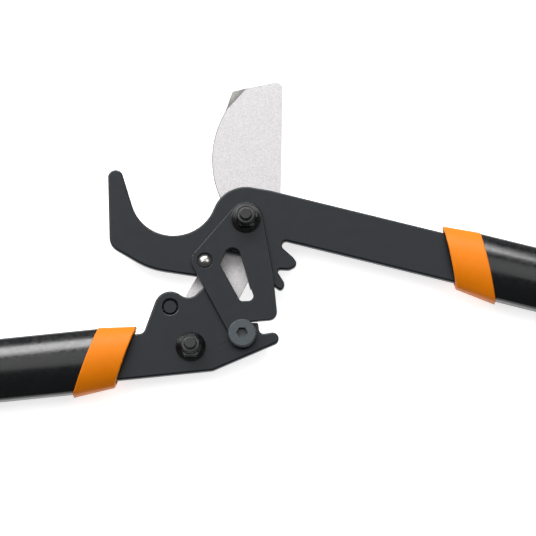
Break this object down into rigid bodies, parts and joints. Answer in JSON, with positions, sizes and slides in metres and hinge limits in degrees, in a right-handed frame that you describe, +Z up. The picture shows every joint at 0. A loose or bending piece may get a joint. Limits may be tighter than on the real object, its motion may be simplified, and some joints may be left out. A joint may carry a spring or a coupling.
{
  "type": "geared bypass lopper",
  "caption": "Long-handled geared bypass lopper: crescent blade passes a hooked plate; toothed plates, keeper link and oval tube handles with tapered collars.",
  "frame": {"origin": "main pivot axis, in the plane that the tool rests on when it lies flat with its nuts upwards", "axes": "+Z up along the pivots from bolt heads to nuts; +X towards the end of the right handle; +Y towards the blade tip with the tool open"},
  "size_m": [1.4447, 0.287, 0.031],
  "materials": {
    "coated_steel": "satin dark blue-grey low-friction coating",
    "blade_steel": "fine-blasted light steel",
    "polished_steel": "polished",
    "black_steel": "glossy black",
    "dark_steel": "satin dark grey",
    "bronze": "plain turned",
    "nylon": "matt",
    "orange_plastic": "satin moulded",
    "black_tube": "glossy black",
    "grip_rubber": "matt, fine texture",
    "filler_plastic": "matt",
    "rivet_aluminium": "satin"
  },
  "bodies": {
    "hook_side": {"hook_plate": "coated_steel", "pivot_bush": "bronze", "right_collar": "orange_plastic", "right_tube": "black_tube", "right_grip": "grip_rubber", "right_end_cap": "orange_plastic", "right_tang_spacers": "filler_plastic", "right_tang_rivets": "rivet_aluminium"},
    "blade": {"blade": "blade_steel", "pivot_bolt": "black_steel", "pivot_washer": "black_steel", "pivot_nut": "black_steel", "pivot_lock_ring": "nylon", "keeper_plate": "coated_steel", "glide_pin": "polished_steel", "guide_screw": "dark_steel", "glide_pad": "nylon", "handle_bolt": "black_steel", "handle_washer": "black_steel", "handle_nut": "black_steel", "handle_lock_ring": "nylon"},
    "left_handle": {"left_plate": "coated_steel", "handle_bush": "bronze", "stop_stud": "coated_steel", "left_collar": "orange_plastic", "left_tube": "black_tube", "left_grip": "grip_rubber", "left_end_cap": "orange_plastic", "left_tang_spacers": "filler_plastic", "left_tang_rivets": "rivet_aluminium"}
  },
  "joints": [
    {"name": "blade_pivot", "type": "hinge", "parent": "hook_side", "child": "blade", "pos_m": [0, 0, 0], "axis": [0, 0, 1], "range_deg": [0, 79]},
    {"name": "left_handle_pivot", "type": "hinge", "parent": "blade", "child": "left_handle", "pos_m": [-0.03275, -0.0779, 0], "axis": [0, 0, 1], "range_deg": [0, 60.46]}
  ],
  "couplings": [
    {"joint": "left_handle_pivot", "follows": "blade_pivot", "ratio": 0.764}
  ]
}
